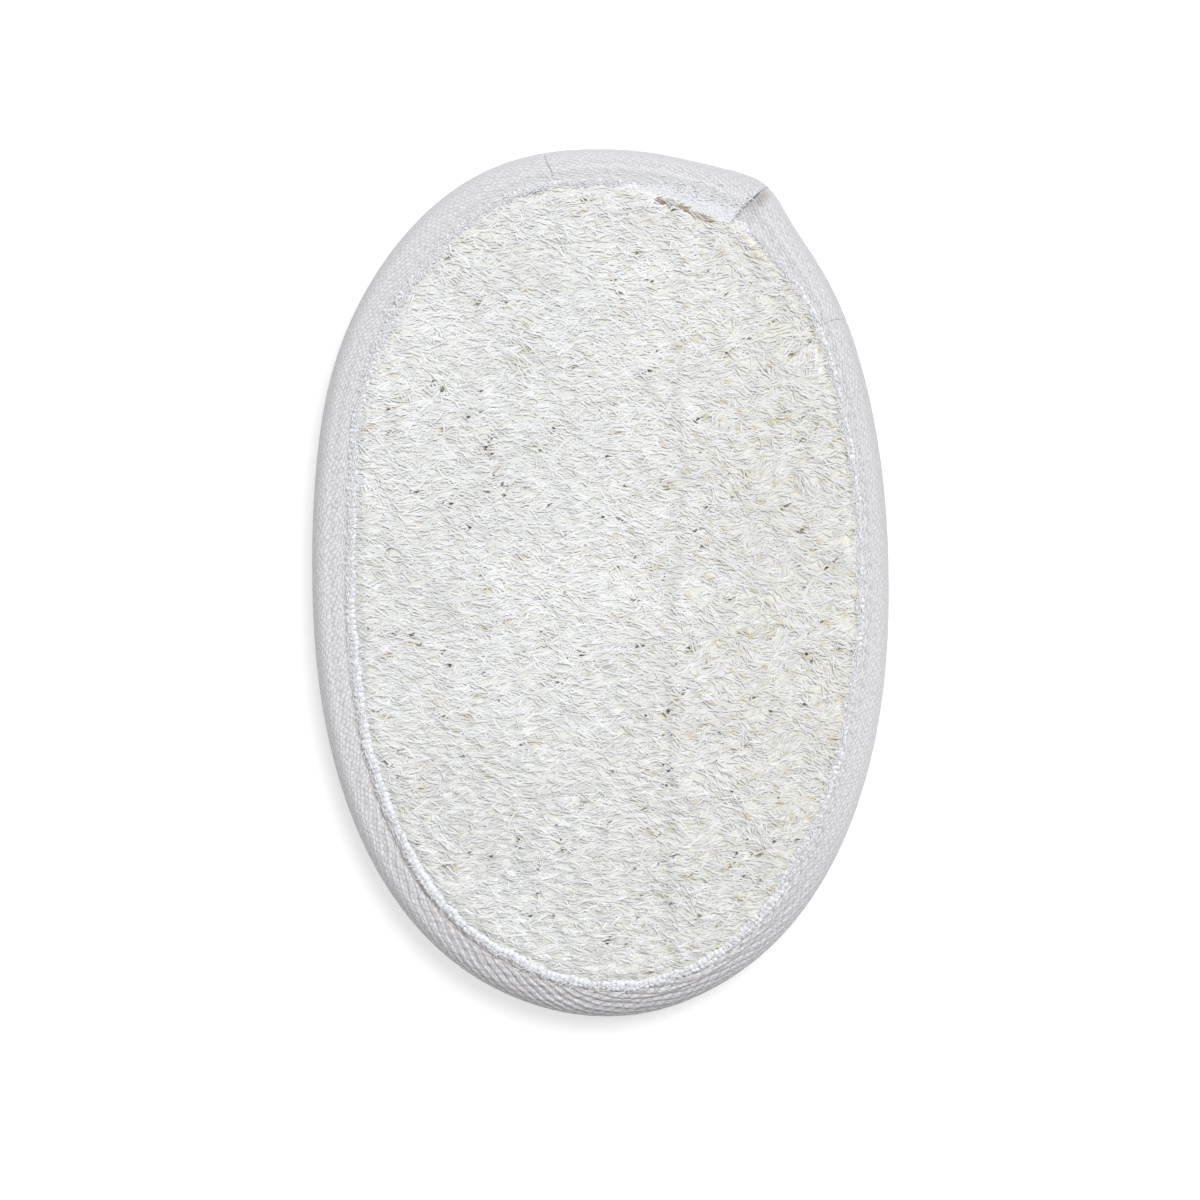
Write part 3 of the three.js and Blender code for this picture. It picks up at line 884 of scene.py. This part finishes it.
def place_section(inset, run):
    """Where a point of the tape's section lies on the pad; the lap's corner stands out a little."""
    slant = LAP_SLANT * (1 - smooth(run, 0, 9.6))
    angle = rim.angle_at(run + slant * inset)
    return rim.inside(angle, inset - bells(angle, CORNER_SWELLS) * (1 - smooth(inset, 0, 5)))


def cloth_relief(run, height, cloth, from_stitch, rib, outside):
    """How far the cloth stands out: its ribs and puckers, less the creases along the seam."""
    angle = rim.angle_at(run)
    flat_back = height < -MID + 0.05
    pucker = 0.07 * np.sin(FULL_TURN * run / STITCH_LENGTH) * hump(cloth - 2.4, 1.6)
    relief = outside * (run < rim.length) * (TWILL_HEIGHT * rib_strength(angle) * (rib - 0.7) + pucker)
    past_roll = from_stitch + stitch_inset(angle) > ROUND_REACH
    depth = np.where(flat_back, BACK_CREASE, seam_depth(angle))
    relief = np.where(flat_back, np.minimum(relief, 0), relief)
    return relief - crease(from_stitch) * past_roll * outside * depth


def push_out(inset, height, relief):
    """Moves points of the section outward from the middle line of the rim's roll."""
    away = np.stack([np.minimum(inset - ROUND_REACH, 0), height], -1)
    away /= np.linalg.norm(away, axis=-1, keepdims=True)
    return inset + away[..., 0] * relief, height + away[..., 1] * relief


def painted_crease_shade(run, inset, from_stitch, visible):
    """Share of painted shade, in brown, in the seam's crease (most at the lower left) and under the
    lap's turned-in end.
    """
    painted_shade = visible * bells(rim.angle_at(run), PAINTED_SEAM_SHADE) * hump(from_stitch, 0.28)
    shade_under_fold = hump(rim.length - FOLD_REACH - 0.3 - run, 0.9)
    return np.maximum(painted_shade, 0.75 * shade_under_fold * smooth(-inset, -4.5, -2) * smooth(inset, 0.3, 1.5))


def loop_quads(columns, rows):
    """Quads of a surface whose rows of points are closed loops."""
    row, column = np.meshgrid(np.arange(rows - 1), np.arange(columns), indexing="ij")
    beside = (column + 1) % columns
    low = row * columns
    high = low + columns
    return np.stack([low + column, high + column, high + beside, low + beside], -1).reshape(-1, 4)


def make_tape(material):
    """The folded tape, from its turned-in end on top of the lap to its start under it."""
    loop, across, shown = section_points()
    total = rim.length + LAP_LENGTH
    rows = round((total + FOLD_REACH) / TAPE_STEP) + 1
    columns = len(loop)
    run = np.repeat(np.linspace(-FOLD_REACH, total, rows)[:, None], columns, 1)
    cloth = np.repeat(across[None, :], rows, 0)
    inset = np.repeat(loop[None, :, 0], rows, 0)
    height = np.repeat(loop[None, :, 1], rows, 0)
    inset, height = fit_section(inset, height, run)
    angle = rim.angle_at(run)
    outside = (np.arange(columns) < shown)[None, :]
    visible = outside * (run < rim.length)
    from_stitch = inset - stitch_inset(angle)
    over = twill_row(run, cloth, angle)
    rib = np.abs(np.sin(math.pi * over / TWILL_PITCH)) ** 0.8
    relief = cloth_relief(run, height, cloth, from_stitch, rib, outside)
    inset, height = push_out(inset, height, relief)
    x, y = place_section(inset, run)
    points = np.stack([x, y, np.maximum(MID + height, 0)], -1).reshape(-1, 3)
    roped = visible * bells(angle, ROPE_STRENGTH)
    values = {
        "run": run,
        "across": cloth,
        "over": over,
        # Painted shade in the seam's crease and under the lap's fold.
        "crease": painted_crease_shade(run, inset, from_stitch, visible),
        # Painted shade in the valleys between the ribs, at the pad's lower end.
        "valley_shade": roped * (1 - rib) ** 1.4,
        "roped": roped,
        # Painted shade on the tape's outer roll.
        "grey": rim_painted_shade(angle, inset, height),
        "worn": bells(angle, WORN_CLOTH) + bells(angle, WORN_LAP) * smooth(inset, 2.5, 4.5),
    }
    quads = loop_quads(columns, rows)
    ends = section_caps(columns, rows, shown)
    faces = np.concatenate([quads[:, [0, 1, 2]], quads[:, [0, 2, 3]], ends])
    piece = new_mesh("cotton_tape", points, faces, values)
    piece.data.polygons.foreach_set("use_smooth", np.arange(len(faces)) < 2 * len(quads))
    dress(piece, material, *COTTON)


def section_caps(columns, rows, shown):
    """Closes the tape's two ends with triangles from its shown to its hidden side."""
    hidden = columns - shown
    near = []
    left = 0
    right = 0
    while left < shown - 1 or right < hidden - 1:
        facing = columns - 1 - right
        behind = left * (hidden - 1) <= right * (shown - 1)
        if right == hidden - 1 or (left < shown - 1 and behind):
            near.append((left, left + 1, facing))
            left += 1
        else:
            near.append((left, facing - 1, facing))
            right += 1
    near = np.array(near)
    far = near[:, ::-1] + (rows - 1) * columns
    return np.concatenate([near, far])


def rim_path(run, inset, height):
    """Points along the rim at an inset and a height over mid."""
    x, y = place_section(inset, run)
    return np.stack(np.broadcast_arrays(x, y, MID + height), -1)


def make_knit_edge(name, front, material):
    """The tape's inner edge: a raised cord of leaning loops over a row of smaller ones."""
    start = LAP_LENGTH + 1.0
    end = rim.length + 2.0
    count = round((end - start) / KNIT_PITCH)
    rng = np.random.default_rng(91 if front else 92)
    middles = np.linspace(start, end, count)
    steps = 5
    share = np.linspace(-0.5, 0.5, steps)[None, :]
    paths = []
    widths = []
    plump = bells(rim.angle_at(middles), PLUMP_KNIT)[:, None] if front else 0.0
    for at, long, lean, wide, lift in KNIT_FRONT if front else KNIT_BACK:
        lift = lift + 0.1 * plump
        wide = wide * (1 + 0.3 * plump)
        run = middles[:, None] + lean * share + rng.normal(0, 0.09, count)[:, None]
        angle = rim.angle_at(run)
        edge = tape_edge(angle, run) if front else stitch_inset(angle) + STITCH_INSET
        inset = edge - at - long * share + rng.normal(0, 0.09, count)[:, None]
        bulge = lift + 0.06 * np.cos(math.pi * share) + 0.015 * rng.normal(0, 1, count)[:, None]
        if front:
            height = MID + FRONT_RISE + 2 * BEAD - TAPE - 0.4 + bulge - tape_depth(run)
        else:
            height = np.maximum(0.55 - bulge, 0.5) - MID
        paths.append(rim_path(run, inset, height))
        taper = 0.45 + 0.55 * np.cos(math.pi * share) ** 0.6
        widths.append(wide * taper * rng.uniform(0.88, 1.12, (count, 1)))
    paths = np.concatenate(paths)
    width = np.concatenate(widths)
    shade = np.clip(rng.normal(0.5, 0.12, len(paths)), 0, 1)
    up = 1.0 if front else -1.0
    tube_piece(name, paths, width, width * 0.5, {"shade": shade}, material, COTTON, 6, up)


def make_seam(name, node, front, material):
    """One side of the lock stitch: a float between each pair of needle holes."""
    count = round(rim.length / STITCH_LENGTH)
    steps = 9
    rng = np.random.default_rng(61 if front else 62)
    share = np.linspace(0, 1, steps)[None, :]
    middle = np.arange(count)[:, None] * STITCH_LENGTH
    run = middle + STITCH_LENGTH * (0.04 + 0.92 * share)
    angle = rim.angle_at(run)
    drift = 0.12 * rng.normal(0, 1, count)[:, None] * np.sin(math.pi * share)
    inset = stitch_inset(angle) + drift
    rise = 0.07 * np.sin(math.pi * share) ** 0.5
    depth = seam_depth(angle) if front else BACK_CREASE
    level = MID - depth - 0.13 + rise - tape_depth(run)
    if front:
        level = level + FRONT_RISE
    side = 1.0 if front else -1.0
    paths = rim_path(run, inset, side * level)
    width = np.full(run.shape, THREAD_WIDTH)
    shade = np.clip(rng.normal(0.6, 0.15, count), 0, 1)
    kind = ("sewing_thread", node)
    tube_piece(name, paths, width, width * 0.85, {"shade": shade}, material, kind, 6, side)


def cotton_wisps(name, rng, run, inset, reach, thick, material):
    """Short curled cotton fibres on the tape's front, from a run and inset each."""
    count = len(run)
    steps = 5
    share = np.linspace(0, 1, steps)[None, :]
    curl = 0.3 * np.sin(share * rng.uniform(2, 7, count)[:, None] + rng.uniform(0, 6, count)[:, None])
    run = run[:, None] + share * rng.normal(0, 0.9, count)[:, None] + curl
    inset = inset[:, None] + share * reach[:, None] + curl * 0.5
    past = np.maximum(inset - tape_edge(rim.angle_at(run), run) + 0.3, 0)
    lift = rng.uniform(0, 0.1, count)[:, None] + 0.05 * np.sin(math.pi * share)
    height = MID + FRONT_RISE + bead_share(run) * 0.42 + lift - 0.5 * past**2 - tape_depth(run)
    paths = rim_path(run, inset, height)
    width = thick * (1 - 0.6 * share) + np.zeros((count, 1))
    values = {"shade": rng.uniform(0.5, 1, count)}
    tube_piece(name, paths, width, width * 0.4, values, material, COTTON)


def make_fray(material):
    """Cotton ends that stand out of the raw inner edge of the lap."""
    rng = np.random.default_rng(33)
    count = FRAY_WISPS
    run = rng.uniform(0.2, LAP_LENGTH + 2, count)
    spread = 1.8 * (1 - 0.65 * smooth(run, 12, LAP_LENGTH))
    inset = band_width(rim.angle_at(run)) - 0.1 - spread * np.abs(rng.normal(0, 1, count))
    cotton_wisps("lap_fray", rng, run, inset, rng.uniform(0.1, 0.9, count), 0.25, material)


def make_fuzz(material):
    """A thin fluff that breaks up the knitted edge."""
    rng = np.random.default_rng(35)
    count = FUZZ_WISPS
    run = rng.uniform(LAP_LENGTH, rim.length - 0.5, count)
    inset = tape_edge(rim.angle_at(run), run) - rng.uniform(0.1, 1.5, count)
    cotton_wisps("edge_fuzz", rng, run, inset, rng.normal(0, 0.6, count), 0.17, material)


def make_gap_fibres(material):
    """Brown fibres in the gap where the lap's edge stands off the mat."""
    rng = np.random.default_rng(34)
    count = GAP_FIBRES
    steps = 5
    share = np.linspace(-0.5, 0.5, steps)[None, :]
    run = rng.uniform(6, 19, count)[:, None] + share * rng.uniform(1.2, 3.2, count)[:, None]
    angle = rim.angle_at(run)
    across = rng.uniform(0, 0.9, count)[:, None] + share * rng.normal(0, 0.55, count)[:, None]
    inset = band_width(angle) + across
    x, y = place_section(inset, run)
    place = rim.place(x, y)
    sink = rng.uniform(0.1, 0.8, count)[:, None]
    z = front_height(*place) + edge_fluff(*place) - sink - 0.2 * (2 * share) ** 2
    paths = np.stack([x, y, z], -1)
    width = rng.uniform(*FINE_WIDTH, count)[:, None] * (1 - share**2)
    values = {"shade": rng.uniform(0.1, 1, count), "warm": rng.uniform(0, 0.95, count)}
    tube_piece("lap_gap_fibres", paths, width, width, values, material, LOOFAH)


def make_stray_hairs(material):
    """Two fine grey hairs that lie across the tape."""
    for name, pixels in STRAY_HAIRS.items():
        marks = np.array(pixels)
        at = np.linspace(0, len(marks) - 1, HAIR_STEPS)
        x, y = from_photo(*(np.interp(at, range(len(marks)), marks[:, i]) for i in (0, 1)))
        angle, inset = rim.place(x, y)
        in_roll = 1 - np.minimum(inset, ROUND_REACH) / ROUND_REACH
        height = MID * np.sqrt(np.clip(1 - in_roll**2, 0, 1)) + 0.07
        height = height + FRONT_RISE * smooth(inset, ROUND_REACH, 4)
        height = height - crease(inset - stitch_inset(angle)) * 0.2
        paths = np.stack([x, y, MID + height], -1)[None]
        width = np.full((1, HAIR_STEPS), HAIR_WIDTH)
        shade = {"shade": np.zeros(1)}
        tube_piece(name, paths, width, width, shade, material, COTTON[:1], 5)


class Wire:
    """A number in a material; sums and products of wires make the nodes for them."""

    def __init__(self, owner, socket):
        self.owner = owner
        self.socket = socket

    def math(self, operation, other=None):
        node = self.owner.add("ShaderNodeMath")
        node.operation = operation
        self.owner.join(self.socket, node.inputs[0])
        if isinstance(other, Wire):
            self.owner.join(other.socket, node.inputs[1])
        elif other is not None:
            node.inputs[1].default_value = other
        return Wire(self.owner, node.outputs[0])

    def __add__(self, other):
        return self.math("ADD", other)

    def __sub__(self, other):
        return self.math("SUBTRACT", other)

    def __mul__(self, other):
        return self.math("MULTIPLY", other)

    def wave(self):
        """Rises and falls between 0 and 1, once for each whole number."""
        return (self * math.pi).math("SINE").math("ABSOLUTE")

    def clamp(self):
        return self.math("MAXIMUM", 0.0).math("MINIMUM", 1.0)


class Surface:
    """A material in the making: its nodes, their links and its shader."""

    def __init__(self, name, roughness, specular=0.25):
        self.material = bpy.data.materials.new(name)
        self.material.use_nodes = True
        self.add = self.material.node_tree.nodes.new
        self.join = self.material.node_tree.links.new
        self.shader = self.material.node_tree.nodes["Principled BSDF"].inputs
        self.shader["Roughness"].default_value = roughness
        self.shader["Specular IOR Level"].default_value = specular

    def read(self, name):
        """A value that the mesh carries at its points."""
        node = self.add("ShaderNodeAttribute")
        node.attribute_name = name
        return Wire(self, node.outputs["Fac"])

    def noise(self, where, scale, detail=3.0):
        node = self.add("ShaderNodeTexNoise")
        node.inputs["Scale"].default_value = scale
        node.inputs["Detail"].default_value = detail
        self.join(where, node.inputs["Vector"])
        return Wire(self, node.outputs["Fac"])

    def grain(self, scale, detail=3.0):
        """Noise fixed to the piece."""
        return self.noise(self.add("ShaderNodeTexCoord").outputs["Object"], scale, detail)

    def mix(self, share, first, second):
        """Mixes two colours or sockets by a wire."""
        node = self.add("ShaderNodeMix")
        node.data_type = "RGBA"
        self.join(share.socket, node.inputs["Factor"])
        for socket, value in ((node.inputs["A"], first), (node.inputs["B"], second)):
            if isinstance(value, bpy.types.NodeSocket):
                self.join(value, socket)
            else:
                socket.default_value = (*value, 1)
        return node.outputs["Result"]

    def paint(self, colour):
        self.join(colour, self.shader["Base Color"])

    def bump(self, height, distance, strength):
        node = self.add("ShaderNodeBump")
        node.inputs["Distance"].default_value = distance
        node.inputs["Strength"].default_value = strength
        self.join(height.socket, node.inputs["Height"])
        self.join(node.outputs["Normal"], self.shader["Normal"])


def fibre_material(name, tan):
    """Bleached plant fibre: pale, finely rough, tan where it is flecked."""
    made = Surface(name, 0.72)
    plain = made.mix(made.read("shade"), FIBRE_GREY, FIBRE_PALE)
    made.paint(made.mix(made.read("warm"), plain, tan))
    made.bump(made.grain(2600), 0.00008, 0.4)
    return made.material


def bed_material():
    """The mat's ground: tan by the holes and pockets, with painted shade in the holes and under the
    lap's raw edge.
    """
    made = Surface("matted_fibre_ground", 0.9)
    warm = made.mix(made.read("warm"), BED_PALE, BED_TAN)
    made.paint(made.mix(made.read("pit"), warm, BED_PAINTED_SHADE))
    made.bump(made.grain(1500), 0.0003, 0.7)
    return made.material


def twill_wire(run, across, over, threads):
    """Short grains laid along the cloth in rows, each row set on from the last."""
    along = run * math.cos(TWILL_SLOPE) + across * math.sin(TWILL_SLOPE)
    row = over * (1 / GRAIN_ROW) + threads * GRAIN_STRAY
    place = along * (1 / GRAIN_LONG) + row.math("FLOOR") * GRAIN_SHIFT + threads * GRAIN_STRAY
    return row.wave().math("POWER", 0.7) * place.wave().math("POWER", 0.5)


def rope_wire(run, over):
    """Creases that lean across each rib, as between the strands of a rope; their darkness is painted
    shade.
    """
    leaning = run * (1 / ROPE_LONG) + over * (ROPE_LEAN / TWILL_PITCH)
    return (leaning.wave() * -1.0 + 1.0).math("POWER", 1.6)


def thread_wire(made, run, across):
    """Uneven threads that lie along the cloth, 0 to 1."""
    where = made.add("ShaderNodeCombineXYZ")
    made.join((run * 0.4).socket, where.inputs["X"])
    made.join(across.socket, where.inputs["Y"])
    return made.noise(where.outputs["Vector"], 2.6)


def tape_material():
    """White cotton twill: small grains, with painted shade in its valleys, in its seam's crease and on
    its outer roll.
    """
    made = Surface("white_cotton_twill", 0.88)
    run, across, over, roped, worn = map(made.read, ("run", "across", "over", "roped", "worn"))
    threads = thread_wire(made, run, across)
    fuzz = made.grain(2200)
    twist = rope_wire(run, over) * roped
    grains = twill_wire(run, across, over, threads)
    height = grains * 0.45 + threads * 0.9 + fuzz * 0.4 - twist * 0.4
    height = (height - 0.86) * (worn * -1.0 + 1.0) + 0.86
    plain = made.mix((height * 1.75 - 0.95).clamp(), COTTON_SHADE, COTTON_WHITE)
    # Painted shade in the rib valleys and in the rope's creases.
    cloth = made.mix((made.read("valley_shade") + twist * 0.16).clamp(), plain, VALLEY_SHADE_BROWN)
    # Painted shade on the tape's outer roll.
    rolled = made.mix(made.read("grey"), cloth, RIM_PAINTED_SHADE)
    # Painted shade in the seam's crease and under the lap's fold.
    painted_shade = made.read("crease") * (fuzz + 0.3)
    made.paint(made.mix(painted_shade.clamp(), rolled, CREASE_SHADE_BROWN))
    made.shader["Sheen Weight"].default_value = 0.1
    made.bump(height, 0.0002, 0.8)
    return made.material


def yarn_material(name, pale, dark):
    """Soft yarn, with a twist that darkens it in places."""
    made = Surface(name, 0.85)
    twist = made.grain(3500, 4.0)
    share = (made.read("shade") * twist * 1.6 + 0.25).clamp()
    made.paint(made.mix(share, dark, pale))
    made.bump(twist, 0.0001, 0.6)
    return made.material


def dark_material(name, dark, light):
    """A dark colour that turns to a lighter one from bit to bit."""
    made = Surface(name, 0.6)
    made.paint(made.mix(made.read("shade"), dark, light))
    return made.material


def make_stage():
    """The white floor under the pad."""
    mesh = bpy.data.meshes.new("floor")
    corners = [(-1, -1), (1, -1), (1, 1), (-1, 1)]
    mesh.from_pydata([(FLOOR_REACH * x, FLOOR_REACH * y, 0) for x, y in corners], [], [(0, 1, 2, 3)])
    floor = bpy.data.objects.new("floor", mesh)
    bpy.context.scene.collection.objects.link(floor)
    made = Surface("floor_white", 0.9, 0.0)
    made.shader["Base Color"].default_value = (FLOOR_WHITE, FLOOR_WHITE, FLOOR_WHITE, 1)
    made.shader["Emission Color"].default_value = (1, 1, 1, 1)
    made.shader["Emission Strength"].default_value = FLOOR_GLOW
    mesh.materials.append(made.material)


def make_light():
    """One large soft lamp past the pad's upper right, and an even pale sky."""
    world = bpy.data.worlds.new("studio")
    world.use_nodes = True
    sky = world.node_tree.nodes["Background"]
    sky.inputs["Color"].default_value = (1, 1, 1, 1)
    sky.inputs["Strength"].default_value = WORLD_STRENGTH
    bpy.context.scene.world = world
    lamp = bpy.data.lights.new("key", "SUN")
    lamp.energy = KEY_STRENGTH
    lamp.angle = KEY_SOFTNESS
    key = bpy.data.objects.new("key", lamp)
    toward = np.array([
        math.sin(KEY_BEARING) * math.cos(KEY_ELEVATION),
        math.cos(KEY_BEARING) * math.cos(KEY_ELEVATION),
        math.sin(KEY_ELEVATION),
    ])
    key.rotation_euler = (math.pi / 2 - KEY_ELEVATION, 0, math.pi - KEY_BEARING)
    key.location = toward * 0.8
    bpy.context.scene.collection.objects.link(key)


def make_camera():
    """Straight above, framed as the photograph is."""
    frame_width = PHOTO_SIZE / PIXELS_PER_MM
    middle_x, middle_y = from_photo(PHOTO_SIZE / 2, PHOTO_SIZE / 2)
    camera = bpy.data.cameras.new("camera")
    camera.lens = CAMERA_LENS
    camera.sensor_width = SENSOR
    camera.clip_start = 0.01
    seen_from = bpy.data.objects.new("camera", camera)
    distance = frame_width * CAMERA_LENS / SENSOR + FOCUS_HEIGHT
    seen_from.location = (middle_x * MM, middle_y * MM, distance * MM)
    bpy.context.scene.collection.objects.link(seen_from)
    bpy.context.scene.camera = seen_from
    bpy.context.scene.view_settings.view_transform = "Standard"


make_camera()
make_light()
make_stage()

pale_fibre = fibre_material("bleached_fibre", FIBRE_TAN)
dark_speck = dark_material("dark_rind", SPECK_BLACK, SPECK_BROWN)
brown_fibre = fibre_material("raw_brown_fibre", FIBRE_BROWN)
knit_yarn = yarn_material("knit_edge_yarn", KNIT_WHITE, KNIT_SHADE)
thread_yarn = yarn_material("off_white_thread", THREAD_WHITE, THREAD_SHADE)

make_bed(bed_material())
for layer in FIBRE_LAYERS:
    make_fibres(*layer, pale_fibre)
make_specks(dark_speck)
make_back_fibres(pale_fibre)
make_tape(tape_material())
make_knit_edge("knit_edge_front", True, knit_yarn)
make_knit_edge("knit_edge_back", False, knit_yarn)
make_seam("stitches_front", "seam_thread_front", True, thread_yarn)
make_seam("stitches_back", "seam_thread_back", False, thread_yarn)
make_fray(yarn_material("frayed_cotton", FRAY_WHITE, FRAY_SHADE))
make_fuzz(knit_yarn)
make_gap_fibres(brown_fibre)
make_stray_hairs(dark_material("grey_hair", HAIR_GREY, SPECK_BLACK))
